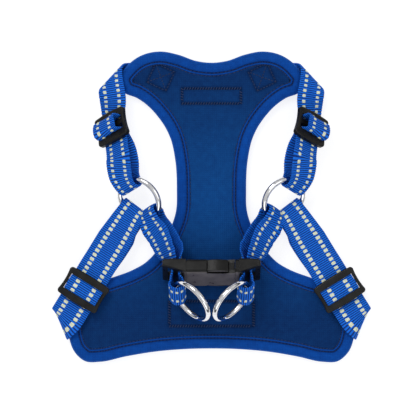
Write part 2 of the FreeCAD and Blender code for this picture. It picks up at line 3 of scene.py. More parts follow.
import bpy
import numpy as np
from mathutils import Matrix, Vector


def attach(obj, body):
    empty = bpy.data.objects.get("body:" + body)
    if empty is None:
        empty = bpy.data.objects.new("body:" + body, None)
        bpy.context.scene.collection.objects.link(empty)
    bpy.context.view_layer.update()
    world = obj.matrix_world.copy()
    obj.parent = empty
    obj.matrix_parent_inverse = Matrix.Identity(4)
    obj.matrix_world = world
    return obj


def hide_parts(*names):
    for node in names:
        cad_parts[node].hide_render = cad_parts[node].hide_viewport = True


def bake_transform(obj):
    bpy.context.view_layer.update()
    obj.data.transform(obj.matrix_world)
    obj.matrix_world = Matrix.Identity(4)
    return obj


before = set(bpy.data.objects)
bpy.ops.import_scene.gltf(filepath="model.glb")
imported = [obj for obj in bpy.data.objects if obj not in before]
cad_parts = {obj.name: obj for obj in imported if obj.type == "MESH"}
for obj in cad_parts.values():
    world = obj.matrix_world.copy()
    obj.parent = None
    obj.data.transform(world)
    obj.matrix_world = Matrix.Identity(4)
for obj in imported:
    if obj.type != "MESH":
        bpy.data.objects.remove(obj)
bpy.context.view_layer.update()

# The harness is drawn in millimetres, as its CAD is, and turned into metres where a mesh is made.
MM = 0.001
SIDES = {"left": 1.0, "right": -1.0}
TABLE = 0.02                   # nothing is drawn lower than this

# Webbing
WEB = 1.5
GIRTH_WIDTH = 25.0
STRAP_WIDTH = 20.0
RIB_PITCH = 1.5
RIB_STEPS = 5
RIB_HEIGHT = 0.34
DASH_PITCH = 3.6
WIDE_DASH = (2.35, 3.2)         # length and width of a dash on the girth straps
NARROW_DASH = (1.95, 2.5)      # and on the others
DASH_ROW = 0.255               # distance of a dash row from the middle, as a share of the width

# Panel
PANEL_BOTTOM = WEB + 0.1
LINING_TOP = 8.2
PAD_INSET = 8.6                # the pad's rim, in from the bound edge
PAD_LEVELS = (2.3, 7.7)        # underside and top of the flat pad, before it is puffed
PAD_VOXEL = 2.4
PAD_PRESSURE = 4.0
PAD_PUFF = 1.3                 # the furthest that the simulation may move a point
CLOTH_FRAMES = 20
SEAM_DEPTH = 1.15              # of the groove under the stitched boxes, and its half width
SEAM_WIDTH = 1.1
EDGE_SEAMS = (7.6, 9.7)        # distance of the two seams in from the bound edge
NECK_NOTCH = 104.0
OUTLINE = [
    (-11.0, 105.3), (-24.0, 109.8), (-37.0, 112.1), (-50.0, 109.5), (-60.4, 102.2), (-66.6, 92.6),
    (-63.2, 82.7), (-53.5, 78.4), (-45.5, 72.6), (-39.0, 65.6), (-33.3, 57.4), (-29.6, 49.5),
    (-26.3, 35.0), (-25.0, 13.0), (-25.8, -4.0), (-28.8, -13.5), (-34.0, -23.5), (-40.0, -32.3),
    (-47.3, -39.8), (-56.7, -45.3), (-69.0, -50.0), (-84.0, -54.6), (-96.5, -59.2), (-102.3, -66.5),
    (-103.6, -80.0), (-102.6, -94.5), (-98.8, -104.4), (-91.0, -111.2), (-80.0, -111.6), (-62.0, -107.8),
    (-40.0, -104.2), (-20.0, -102.5),
]
HEM_MIDDLE = -102.0

# Rings and buckle
RING_RADIUS = 16.0
BUCKLE_CENTRE = np.array([-0.5, -47.0, 23.9])
BUCKLE_LEAN = math.radians(23.0)
SOCKET_START = -34.5
CROSS_BAR = 3.6


# ---------------------------------------------------------------- vectors

def vec(x, y, z=0.0):
    return np.array([x, y, z], float)


def unit(v):
    return v / np.linalg.norm(v)


def spline(values, knots, where):
    """Smooth values through unevenly spaced knots."""
    values = np.asarray(values, float)
    steps = np.diff(knots)
    slope = np.diff(values, axis=0) / steps.reshape((-1,) + (1,) * (values.ndim - 1))
    tangents = np.empty_like(values)
    tangents[0] = slope[0]
    tangents[-1] = slope[-1]
    for i in range(1, len(knots) - 1):
        tangents[i] = (slope[i - 1] * steps[i] + slope[i] * steps[i - 1]) / (steps[i] + steps[i - 1])
    k = np.clip(np.searchsorted(knots, where, side="right") - 1, 0, len(steps) - 1)
    h = steps[k].reshape((-1,) + (1,) * (values.ndim - 1))
    t = ((where - knots[k]) / steps[k]).reshape(h.shape)
    return (values[k] * (2 * t**3 - 3 * t**2 + 1) + tangents[k] * h * (t**3 - 2 * t**2 + t)
            + values[k + 1] * (3 * t**2 - 2 * t**3) + tangents[k + 1] * h * (t**3 - t**2))


def rows(v):
    """Each row of an array of vectors, made one long."""
    return v / np.linalg.norm(v, axis=1, keepdims=True)


# ---------------------------------------------------------------- webbing

class Ribbon:
    """A strap's middle surface, laid through stations.

    A station is (point, direction of the width, share of the width, bow). A share of None is a slanted
    section: its vector is used as it is. The bow lifts the middle of the width, and crumple is the height
    of the small creases all along.
    """

    def __init__(self, stations, width, closed=False, crumple=0.0):
        wrap = 3
        if closed:
            stations = stations[-wrap:] + stations + stations[:wrap + 1]
        points = np.array([s[0] for s in stations], float)
        across = np.array([s[1] for s in stations], float)
        bows = np.array([s[3] if len(s) > 3 else 0.0 for s in stations])
        knots = np.concatenate([[0.0], np.cumsum(np.linalg.norm(np.diff(points, axis=0), axis=1))])
        first = knots[wrap] if closed else 0.0
        last = knots[-1 - wrap] if closed else knots[-1]
        where = np.linspace(first, last, int((last - first) / 0.2))
        at_knots = rows(spline(points, knots, knots + 1e-4) - spline(points, knots, knots - 1e-4))
        slants = np.zeros(len(stations))
        shares = np.ones(len(stations))
        for i, station in enumerate(stations):
            lean = across[i] @ at_knots[i]
            square = across[i] - at_knots[i] * lean
            size = np.linalg.norm(square)
            if len(station) > 2 and station[2] is None:
                slants[i] = lean / size
                shares[i] = size
            elif len(station) > 2:
                shares[i] = station[2]
            across[i] = square / size
        self.centre = spline(points, knots, where)
        self.along = rows(np.gradient(self.centre, axis=0))
        side = spline(across, knots, where)
        side = side - self.along * np.sum(side * self.along, axis=1, keepdims=True)
        self.side = rows(side)
        self.face = np.cross(self.along, self.side)
        self.slant = np.interp(where, knots, slants)
        self.share = np.interp(where, knots, shares)
        self.bow = np.interp(where, knots, bows)
        steps = np.linalg.norm(np.diff(self.centre, axis=0), axis=1)
        self.path = np.concatenate([[0.0], np.cumsum(steps)])
        self.length = self.path[-1]
        self.width = width
        self.crumple = crumple

    def at(self, s, u, h):
        """The point s along the strap, u across it and h above its middle surface."""
        t = np.array(s, float)
        for _ in range(14):
            t = s - np.interp(t, self.path, self.slant) * u
        pick = lambda table: np.stack([np.interp(t, self.path, table[:, i]) for i in range(3)], axis=-1)
        along, side, face = pick(self.along), pick(self.side), pick(self.face)
        share = np.interp(t, self.path, self.share)
        lift = np.interp(t, self.path, self.bow) * (1 - (2 * u / self.width) ** 2)
        creases = np.sin(t / 1.15 + 0.12 * u) * np.cos(0.11 * t - 0.17 * u)
        creases = creases + 0.6 * np.sin(t / 0.83 - 0.21 * u)
        lift = lift + self.crumple * creases
        slide = t - np.clip(t, 0, self.length)
        point = pick(self.centre) + along * slide[..., None]
        point = point + side * (u * share)[..., None]
        point = point + along * (np.interp(t, self.path, self.slant) * u)[..., None]
        point = point + face * (h + lift)[..., None]
        point[..., 2] = np.maximum(point[..., 2], TABLE)
        return point


def mesh_piece(name, points, faces, materials, side=1.0, picks=None, uv=None):
    """A new smooth mesh from points in millimetres. The right side mirrors the left."""
    points = np.array(points, float) * (side, 1, 1) * MM
    if side < 0:
        faces = [f[::-1] for f in faces]
    mesh = bpy.data.meshes.new(name)
    mesh.from_pydata(points.tolist(), [], [tuple(int(i) for i in f) for f in faces])
    for material in materials:
        mesh.materials.append(material)
    mesh.polygons.foreach_set("use_smooth", [True] * len(mesh.polygons))
    if picks is not None:
        mesh.polygons.foreach_set("material_index", picks)
    if uv is not None:
        loops = np.empty(len(mesh.loops), int)
        mesh.loops.foreach_get("vertex_index", loops)
        mesh.uv_layers.new(name="Strap").data.foreach_set("uv", np.asarray(uv, float)[loops].ravel())
    mesh.update()
    piece = bpy.data.objects.new(name, mesh)
    bpy.context.scene.collection.objects.link(piece)
    return piece


def grid_faces(count, ring, closed=True):
    """Faces of a grid: count rings of points, each one closed or open."""
    faces = []
    for i in range(count - 1):
        for j in range(ring if closed else ring - 1):
            k = (j + 1) % ring
            faces.append((i * ring + j, (i + 1) * ring + j, (i + 1) * ring + k, i * ring + k))
    return faces


def dash_size(ribbon):
    return NARROW_DASH if ribbon.width <= STRAP_WIDTH else WIDE_DASH


def webbing_mesh(name, ribbon, start, end, side, flip=1.0):
    """The ribbed body of a strap, between two places along it."""
    half = ribbon.width / 2
    columns = np.linspace(-half + 0.5, half - 0.5, 15)
    thick = WEB / 2
    loop = [(u, thick, 1) for u in columns]
    loop += [(half, 0.5 * thick, 1), (half + 0.05, 0, 1), (half, -0.5 * thick, 1)]
    loop += [(u, -thick, 1) for u in columns[::-1]]
    loop += [(-half, -0.5 * thick, 1), (-half - 0.05, 0, 1), (-half, 0.5 * thick, 1)]
    us = np.array([p[0] for p in loop])
    hs = np.array([p[1] for p in loop])
    count = int((end - start) / (RIB_PITCH / RIB_STEPS)) + 1
    ss = start + np.arange(count) * (RIB_PITCH / RIB_STEPS)
    s, u = np.meshgrid(ss, us, indexing="ij")
    h = np.broadcast_to(hs, s.shape).copy()
    rib = 0.5 - 0.5 * np.cos(2 * math.pi * s / RIB_PITCH)
    flat = (np.abs(np.abs(u) - DASH_ROW * ribbon.width) < dash_size(ribbon)[1] / 2).astype(float)
    edge = np.abs(u) > half - 0.2
    h = h - np.sign(h) * RIB_HEIGHT * rib * (1 - 0.6 * flat)
    u = np.where(edge, u * (1 - 0.014 * rib), u)
    points = ribbon.at(s, u, h * flip).reshape(-1, 3)
    ring = len(loop)
    faces = grid_faces(count, ring)
    faces += [tuple(range(ring)), tuple(range((count - 1) * ring, count * ring))[::-1]]
    if flip < 0:
        faces = [f[::-1] for f in faces]
    uv = np.stack([u.ravel() / 10, s.ravel() / 10], axis=1)
    return mesh_piece(name, points, faces, [MATERIALS["webbing"]], side, uv=uv)


def dashes_mesh(name, ribbon, start, end, side, flip=1.0):
    """Two rows of reflective dashes on the outer face."""
    steps = np.linspace(-1, 1, 5)
    points = []
    faces = []
    count = int((end - start) / DASH_PITCH)
    length, width = dash_size(ribbon)
    for row in (-1, 1):
        for i in range(count):
            middle = start + (i + 0.5) * DASH_PITCH
            a, b = np.meshgrid(steps, steps, indexing="ij")
            s = middle + a * length / 2 * (1 - 0.05 * b**4)
            u = row * DASH_ROW * ribbon.width + b * width / 2 * (1 - 0.12 * a**4)
            rise = 0.26 * (1 - a**6) * (1 - b**6) - 0.06
            base = len(points)
            points += ribbon.at(s, u, (WEB / 2 + rise) * flip).reshape(-1, 3).tolist()
            new = grid_faces(5, 5, closed=False)
            faces += [tuple(base + k for k in (f if flip > 0 else f[::-1])) for f in new]
    return mesh_piece(name, points, faces, [MATERIALS["dash"]], side)


# ---------------------------------------------------------------- materials

def linear(r, g, b):
    """A colour as a screen shows it, 0 to 255, in the shader's linear values."""
    out = []
    for c in (r, g, b):
        c = c / 255
        out.append(c / 12.92 if c <= 0.04045 else ((c + 0.055) / 1.055) ** 2.4)
    return (*out, 1.0)


class Shader:
    """A Principled material and short names for the nodes that feed it."""

    def __init__(self, name, roughness, sheen=0.0, metallic=0.0, specular=0.5):
        self.material = bpy.data.materials.new(name)
        self.material.use_nodes = True
        self.tree = self.material.node_tree
        self.bsdf = next(n for n in self.tree.nodes if n.type == "BSDF_PRINCIPLED")
        self.bsdf.inputs["Roughness"].default_value = roughness
        self.bsdf.inputs["Metallic"].default_value = metallic
        self.bsdf.inputs["Specular IOR Level"].default_value = specular
        self.bsdf.inputs["Sheen Weight"].default_value = sheen
        self.bsdf.inputs["Sheen Roughness"].default_value = 0.35
        self.bsdf.inputs["Sheen Tint"].default_value = (0.25, 0.55, 1.0, 1.0)
        self.coordinates = self.tree.nodes.new("ShaderNodeTexCoord")

    def link(self, source, target):
        self.tree.links.new(source, target)

    def put(self, socket, value):
        if hasattr(value, "node"):
            self.link(value, socket)
        else:
            socket.default_value = value

    def math(self, operation, a, b=0.0):
        node = self.tree.nodes.new("ShaderNodeMath")
        node.operation = operation
        self.put(node.inputs[0], a)
        self.put(node.inputs[1], b)
        return node.outputs[0]

    def noise(self, scale, detail=3.0):
        node = self.tree.nodes.new("ShaderNodeTexNoise")
        node.inputs["Scale"].default_value = scale
        node.inputs["Detail"].default_value = detail
        self.link(self.coordinates.outputs["Object"], node.inputs["Vector"])
        return node.outputs["Fac"]

    def axis(self, index, source="Object"):
        node = self.tree.nodes.new("ShaderNodeSeparateXYZ")
        self.link(self.coordinates.outputs[source], node.inputs[0])
        return node.outputs[index]

    def wave(self, value, period):
        """0 to 1 and back, once in each period."""
        swing = self.math("COSINE", self.math("MULTIPLY", value, 2 * math.pi / period))
        return self.math("ADD", self.math("MULTIPLY", swing, 0.5), 0.5)

    def mix(self, share, first, second):
        node = self.tree.nodes.new("ShaderNodeMix")
        node.data_type = "RGBA"
        self.put(node.inputs["Factor"], share)
        self.put([i for i in node.inputs if i.name == "A" and i.type == "RGBA"][0], first)
        self.put([i for i in node.inputs if i.name == "B" and i.type == "RGBA"][0], second)
        return [o for o in node.outputs if o.type == "RGBA"][0]

    def ramp(self, value, low, high):
        node = self.tree.nodes.new("ShaderNodeMapRange")
        self.put(node.inputs["Value"], value)
        node.inputs["From Min"].default_value = low
        node.inputs["From Max"].default_value = high
        return node.outputs["Result"]

    def colour(self, value):
        self.put(self.bsdf.inputs["Base Color"], value)

    def roughness(self, value):
        self.put(self.bsdf.inputs["Roughness"], value)

    def bump(self, height, distance):
        node = self.tree.nodes.new("ShaderNodeBump")
        node.inputs["Strength"].default_value = 1.0
        node.inputs["Distance"].default_value = distance
        self.link(height, node.inputs["Height"])
        self.link(node.outputs["Normal"], self.bsdf.inputs["Normal"])


def webbing_material():
    """Ribbed nylon: the valleys between the ribs get painted shade, so the crests read lighter, and each rib
    is a row of yarn.
    """
    m = Shader("webbing_nylon", 0.7, sheen=0.04, specular=0.16)
    along = m.axis(1, "UV")
    across = m.axis(0, "UV")
    rib = m.wave(along, RIB_PITCH / 10)
    yarn = m.wave(across, 0.075)
    fuzz = m.noise(900.0, 4.0)
    # Painted shade: rib follows the ribs along the strap, and the colour darkens in the valleys between
    # them.
    tint = m.math("ADD", m.ramp(rib, 0.15, 0.75), m.math("MULTIPLY", m.math("SUBTRACT", fuzz, 0.5), 0.5))
    body = m.mix(m.ramp(tint, 0.0, 1.0), linear(2, 36, 100), linear(14, 108, 222))
    worn = m.ramp(m.noise(60.0, 4.0), 0.42, 0.75)
    m.colour(m.mix(m.math("MULTIPLY", worn, 0.2), body, linear(8, 66, 164)))
    height = m.math("ADD", m.math("MULTIPLY", yarn, 0.5), m.math("MULTIPLY", fuzz, 0.6))
    m.bump(height, 0.00012)
    return m.material


def dash_material():
    """Reflective yarn: cream, with fine threads."""
    m = Shader("reflective_yarn", 0.45, sheen=0.1)
    thread = m.noise(1500.0, 2.0)
    m.colour(m.mix(m.ramp(thread, 0.3, 0.7), linear(184, 190, 160), linear(224, 230, 206)))
    m.bump(thread, 0.0001)
    return m.material


def fabric_material(name, dark, light, pitch, sheen=0.15, grain=0.00012, seams=()):
    """Closely woven fabric: a fine thread grid, soft fibres and uneven tone. Where seams are given, the sewn
    grooves get painted shade and the outer edge a painted highlight.
    """
    m = Shader(name, 0.85, sheen=sheen, specular=0.08)
    x = m.wave(m.axis(0), pitch)
    y = m.wave(m.axis(1), pitch)
    weave = m.math("MULTIPLY", x, y)
    fuzz = m.noise(1400.0, 4.0)
    broad = m.noise(22.0, 3.0)
    broad = m.math("ADD", m.math("MULTIPLY", broad, 0.4), m.math("MULTIPLY", m.noise(260.0, 4.0), 0.6))
    tint = m.math("ADD", m.math("MULTIPLY", fuzz, 0.35), m.math("MULTIPLY", broad, 0.6))
    tint = m.math("ADD", tint, m.math("MULTIPLY", weave, 0.2))
    cloth = m.mix(m.ramp(tint, 0.3, 0.8), dark, light)
    if seams:
        inset = m.axis(0, "UV")
        for seam in seams:
            # Painted shade: darker along each seam's sewn groove.
            away = m.math("ABSOLUTE", m.math("SUBTRACT", inset, seam / 10))
            cloth = m.mix(m.ramp(away, 0.02, 0.085), linear(5, 34, 88), cloth)
        # Painted highlight: lighter towards the outer edge of the band.
        rim = m.ramp(inset, 0.0, 0.14)
        cloth = m.mix(m.math("ADD", m.math("MULTIPLY", rim, 0.5), 0.5), linear(38, 104, 196), cloth)
    m.colour(cloth)
    m.bump(m.math("ADD", m.math("MULTIPLY", weave, 0.8), fuzz), grain)
    return m.material


def lining_material():
    """The panel's lining, painted lighter at the waist and darker over the chest: painted light and shade in
    place of the shading of a curved panel.
    """
    m = Shader("lining_mesh", 0.88, sheen=0.05, specular=0.07)
    x = m.wave(m.axis(0), 0.0014)
    y = m.wave(m.axis(1), 0.0014)
    weave = m.math("MULTIPLY", x, y)
    fuzz = m.noise(1200.0, 4.0)
    broad = m.noise(18.0, 3.0)
    # Painted light and shade: waist is 1 at y = 5 mm and falls away up and down the panel, lightening the
    # cloth there.
    height = m.axis(1)
    from_waist = m.math("ABSOLUTE", m.math("SUBTRACT", height, 0.005))
    waist = m.math("SUBTRACT", 1.0, m.math("MULTIPLY", from_waist, 14.0))
    waist = m.ramp(waist, -0.2, 1.0)
    base = m.mix(waist, linear(6, 37, 84), linear(10, 59, 120))
    light = m.mix(waist, linear(11, 54, 108), linear(16, 78, 144))
    patches = m.noise(230.0, 4.0)
    tint = m.math("ADD", m.math("MULTIPLY", fuzz, 0.4), m.math("MULTIPLY", broad, 0.3))
    tint = m.math("ADD", tint, m.math("MULTIPLY", patches, 0.5))
    tint = m.math("ADD", tint, m.math("MULTIPLY", weave, 0.2))
    cloth = m.mix(m.ramp(tint, 0.45, 0.95), base, light)
    # Painted shade in the seam grooves round the stitched boxes, led by the groove depth in the UV map.
    m.colour(m.mix(m.math("MULTIPLY", m.axis(0, "UV"), 0.75), cloth, linear(3, 22, 56)))
    m.bump(m.math("ADD", m.math("MULTIPLY", weave, 0.8), fuzz), 0.00012)
    return m.material


def thread_material():
    m = Shader("sewing_thread", 0.7, sheen=0.2)
    ply = m.noise(2200.0, 2.0)
    m.colour(m.mix(m.ramp(ply, 0.3, 0.7), linear(4, 24, 64), linear(8, 38, 90)))
    m.bump(ply, 0.00008)
    return m.material


def plastic_material(name, broad_face=None):
    """Moulded acetal: satin black, with a fine spark-eroded grain and rub marks.

    broad_face is the direction out of the flat faces that get a painted lighter grey, standing in for the
    light that falls on them.
    """
    m = Shader(name, 0.3, specular=0.22)
    grain = m.noise(2600.0, 3.0)
    rub = m.noise(130.0, 5.0)
    black = m.mix(m.ramp(rub, 0.4, 0.8), linear(14, 14, 14), linear(30, 30, 29))
    if broad_face is not None:
        # Painted light: the moulded body's faces turned towards broad_face are painted grey.
        facing = m.math("MULTIPLY", m.axis(1, "Normal"), broad_face[1])
        facing = m.math("ADD", facing, m.math("MULTIPLY", m.axis(2, "Normal"), broad_face[2]))
        grey = m.mix(m.ramp(rub, 0.35, 0.75), linear(84, 80, 84), linear(112, 108, 111))
        body = m.ramp(m.math("ABSOLUTE", m.axis(0)), 0.0215, 0.0185)
        black = m.mix(m.math("MULTIPLY", m.ramp(facing, 0.8, 0.95), body), black, grey)
    m.colour(black)
    m.roughness(m.math("ADD", m.math("MULTIPLY", rub, 0.2), 0.2))
    m.bump(grain, 0.00006)
    return m.material


def chrome_material():
    """Nickel-plated wire with hairline drawing marks."""
    m = Shader("nickel_plate", 0.1, metallic=1.0)
    haze = m.noise(400.0, 4.0)
    m.colour(m.mix(m.ramp(haze, 0.35, 0.75), linear(232, 232, 234), linear(205, 206, 210)))
    m.roughness(m.math("ADD", m.math("MULTIPLY", haze, 0.05), 0.015))
    m.bump(m.noise(3000.0, 2.0), 0.000004)
    return m.material


def floor_material():
    m = Shader("studio_floor", 0.9, specular=0.1)
    m.colour(m.mix(m.noise(6.0, 2.0), linear(150, 150, 150), linear(156, 156, 156)))
    m.bsdf.inputs["Emission Color"].default_value = (1.0, 1.0, 1.0, 1.0)
    m.bsdf.inputs["Emission Strength"].default_value = 0.78
    return m.material


MATERIALS = {
    "webbing": webbing_material(),
    "dash": dash_material(),
    "lining": lining_material(),
    "outer": fabric_material("outer_polyester", linear(10, 62, 160), linear(20, 86, 198), 0.001),
    "binding": fabric_material(
        "binding_fleece", linear(4, 50, 122), linear(10, 78, 168), 0.0012, sheen=0.2, seams=EDGE_SEAMS),
    "thread": thread_material(),
    "plastic": plastic_material("satin_acetal"),
    "buckle": plastic_material(
        "buckle_acetal", broad_face=(0, -math.cos(BUCKLE_LEAN), math.sin(BUCKLE_LEAN))),
    "chrome": chrome_material(),
    "floor": floor_material(),
}


# ---------------------------------------------------------------- paths of the left straps

RING_CENTRE = vec(-51.8, 5.4, 17.0)
RING_LEVEL = unit(vec(0.656, -0.755))
RING_TILT = math.radians(40.0)
RING_UPHILL = vec(
    -RING_LEVEL[1] * math.cos(RING_TILT), RING_LEVEL[0] * math.cos(RING_TILT), math.sin(RING_TILT))


def ring_point(degrees):
    angle = math.radians(degrees)
    outward = RING_LEVEL * math.cos(angle) + RING_UPHILL * math.sin(angle)
    tangent = RING_UPHILL * math.cos(angle) - RING_LEVEL * math.sin(angle)
    return RING_CENTRE + outward * RING_RADIUS, outward, tangent


def turn(hub, away, front, across, radius, share=1.0, bow=0.0, steps=8):
    """Half a turn round a bar at hub, from the front layer to the back layer."""
    path = []
    for i in range(steps + 1):
        angle = math.pi * i / steps
        point = hub + front * (radius * math.cos(angle)) - away * (radius * math.sin(angle))
        path.append((point, across, share, bow * math.sin(angle)))
    return path


def upwards(v):
    return v if v[2] >= 0 else -v


GIRTH_HEADING = unit(vec(-0.522, -0.853))
GIRTH_ACROSS = vec(GIRTH_HEADING[1], -GIRTH_HEADING[0])
GIRTH_LEVEL = 11.8
GIRTH_SLIDER = vec(-92.0, -59.6, GIRTH_LEVEL)
SHOULDER_SLIDER = vec(-69.4, 56.4, 16.0)
SHOULDER_HEADING = unit(vec(0.11, -0.89, 0.42))
SHOULDER_ACROSS = unit(vec(0.77, 0.42, 0.48))


def girth_path():
    wire, outward, tangent = ring_point(-74.0)
    across = -tangent
    leaving = outward * 0.45 + GIRTH_HEADING * 0.55
    leaving = unit(leaving - across * (leaving @ across))
    front = upwards(unit(np.cross(leaving, across)))
    hub = wire - leaving * 3.0 + front * 0.6
    run = vec(GIRTH_SLIDER[0], GIRTH_SLIDER[1])
    level = vec(0, 0, GIRTH_LEVEL)
    under = [
        (vec(-60.0, -78.0, WEB / 2), vec(0, 1)),
        (vec(-95.0, -78.0, WEB / 2), vec(0, 1)),
        (vec(-105.6, -82.6, 0.8), vec(-0.36, 0.93)),
        (vec(-107.6, -83.6, 2.4), vec(-0.36, 0.93)),
        (vec(-108.3, -83.9, 6.0), vec(-0.38, 0.92)),
        (vec(-107.4, -83.0, 9.6), vec(-0.42, 0.90)),
        (vec(-104.9, -80.2, 11.6), vec(-0.55, 0.84)),
        (vec(-101.6, -75.2, 12.1), vec(-0.80, 0.85)),
    ]
    outer = [(run - GIRTH_HEADING * d + level, GIRTH_ACROSS) for d in (-12.0, 0.0, 14.0, 28.0, 42.0)]
    outer.append((run - GIRTH_HEADING * 52.0 + level, GIRTH_ACROSS, 0.92))
    loop = turn(hub, leaving, front, across, 4.4, 0.82)
    inner = [
        (run - GIRTH_HEADING * 52.0 - GIRTH_ACROSS * 0.6 + vec(0, 0, 3.6), GIRTH_ACROSS, 0.9),
        (run - GIRTH_HEADING * 46.0 - GIRTH_ACROSS * 0.9 + vec(0, 0, 5.0), GIRTH_ACROSS),
        (run - GIRTH_HEADING * 36.0 - GIRTH_ACROSS * 0.8 + vec(0, 0, 7.4), GIRTH_ACROSS),
        (run - GIRTH_HEADING * 24.0 + vec(0, 0, GIRTH_LEVEL - WEB - 0.3), GIRTH_ACROSS),
        (run + vec(0, 0, GIRTH_LEVEL - WEB - 0.3), GIRTH_ACROSS),
    ]
    return under + outer + loop + inner


def shoulder_path():
    wire, outward, tangent = ring_point(172.0)
    across = -tangent
    front = upwards(unit(np.cross(across, outward)))
    hub = wire - outward * 3.0
    crease = unit(vec(-0.68, -0.733))
    heading = unit(vec(-0.993, 0.12))
    lean = heading @ crease
    square = math.sqrt(1 - lean * lean)
    out = unit(heading - crease * lean)
    reach, rise, sweep, steps = 3.2, 4.9, 172.0, 8
    drift = (reach + rise) / 2 * lean / square
    start = vec(-66.3, 95.0, WEB / 2)
    path = [(vec(-26.5, 90.2, WEB / 2), vec(0.12, 1)), (vec(-50.0, 93.0, WEB / 2), vec(0.12, 1))]
    for i in range(steps + 1):
        angle = math.radians(sweep) * i / steps
        point = start + out * (reach * math.sin(angle)) + crease * (drift * angle)
        point = point + vec(0, 0, rise * (1 - math.cos(angle)))
        path.append((point, crease * (-1 / square), None))
    path.append((vec(-71.0, 77.5, 11.6), vec(0.88, 0.40, 0.28)))
    for d in (-11.6, 0.0, 12.0, 18.0, 24.0):
        path.append((SHOULDER_SLIDER + SHOULDER_HEADING * d, SHOULDER_ACROSS))
    path += [
        (vec(-66.2, 27.6, 24.2), vec(0.70, 0.48, 0.53)),
        (vec(-64.9, 20.6, 22.8), vec(0.62, 0.50, 0.60)),
    ]
    path += turn(hub, outward, front, across, 4.4, 0.9)
    beneath = -upwards(np.cross(SHOULDER_HEADING, SHOULDER_ACROSS))
    path += [
        (vec(-59.6, 24.0, 14.8), vec(0.62, 0.50, 0.60)),
        (vec(-60.4, 33.0, 16.0), vec(0.68, 0.46, 0.57)),
        (vec(-63.4, 42.5, 16.8), SHOULDER_ACROSS),
        (SHOULDER_SLIDER + SHOULDER_HEADING * 7.0 + beneath * 3.0, SHOULDER_ACROSS),
        (SHOULDER_SLIDER + SHOULDER_HEADING * 1.0 + beneath * (WEB + 0.3), SHOULDER_ACROSS),
    ]
    return path


BUCKLE_RISE = vec(0, math.sin(BUCKLE_LEAN), math.cos(BUCKLE_LEAN))
BUCKLE_FACE = vec(0, -math.cos(BUCKLE_LEAN), math.sin(BUCKLE_LEAN))
LEASH_HUB = vec(-24.3, -59.9, 29.6)
LEASH_AXIS = unit(vec(0.036, -0.628, -0.780))


def back_path():
    """Once round the sewn band: front layer, leash-ring turn, back layer, side-ring turn."""
    wire, outward, tangent = ring_point(-6.0)
    across = -tangent
    leaving = outward * 0.7 + vec(0.5, -0.85, 0.2) * 0.3
    leaving = unit(leaving - across * (leaving @ across))
    front = upwards(unit(np.cross(leaving, across)))
    hub = wire - leaving * 2.9
    clear = CROSS_BAR / 2 + WEB / 2 + 0.3
    in_slots = BUCKLE_CENTRE + vec(SOCKET_START + 1.5 * CROSS_BAR + 4.0, 0)
    stations = [
        (vec(-40.4, -13.6, 15.6), unit(vec(-0.74, -0.40, -0.54)), 4.0),
        (vec(-36.2, -19.6, 17.2), unit(vec(-0.72, -0.42, -0.55)), 4.0),
        (vec(-31.8, -27.4, 19.0), unit(vec(-0.64, -0.42, -0.64)), 4.6),
        (vec(-28.0, -34.6, 20.4), unit(vec(-0.46, -0.41, -0.79)), 4.4),
        (in_slots - BUCKLE_FACE * 5.8, -BUCKLE_RISE, clear),
        (in_slots + BUCKLE_FACE * 5.0, -BUCKLE_RISE, clear),
    ]
    outer = []
    inner = []
    for i, (point, width_way, spread) in enumerate(stations):
        before = stations[i - 1][0] if i else hub
        after = stations[i + 1][0] if i + 1 < len(stations) else LEASH_HUB
        side = unit(np.cross(after - before, width_way))
        side = side if side[0] < 0 else -side
        outer.append((point + side * spread, width_way))
        inner.append((point - side * spread, width_way))
    toward = LEASH_HUB - stations[-1][0]
    toward = unit(toward - LEASH_AXIS * (toward @ LEASH_AXIS))
    end_side = unit(np.cross(toward, LEASH_AXIS))
    end_side = end_side if end_side[0] < 0 else -end_side
    end_loop = turn(LEASH_HUB, -toward, end_side, LEASH_AXIS, 5.2)
    ring_loop = turn(hub, leaving, front, across, 4.1, 0.85)
    return outer + end_loop + inner[::-1] + ring_loop[::-1]


# ---------------------------------------------------------------- straps

def outer_sign(ribbon, s):
    """+1 if the ribbon's face looks up where s is, -1 if it looks down."""
    here = ribbon.at(np.array([s]), np.array([0.0]), np.array([0.0]))
    above = ribbon.at(np.array([s]), np.array([0.0]), np.array([1.0]))
    return 1.0 if (above - here)[0, 2] >= 0 else -1.0


def nearest(ribbon, place):
    """How far along the ribbon the point nearest to a place is."""
    return ribbon.path[np.argmin(np.linalg.norm(ribbon.centre - place, axis=1))]


def strap(name, ribbon, side, flip, ends, dash_ends, settle):
    """One strap: its ribbed webbing and its dashes. settle() tells each piece what it rides on."""
    body = webbing_mesh(name, ribbon, ends[0], ends[1], side, flip)
    marks = dashes_mesh(name + "_dashes", ribbon, dash_ends[0], dash_ends[1], side, flip)
    settle(body, marks)


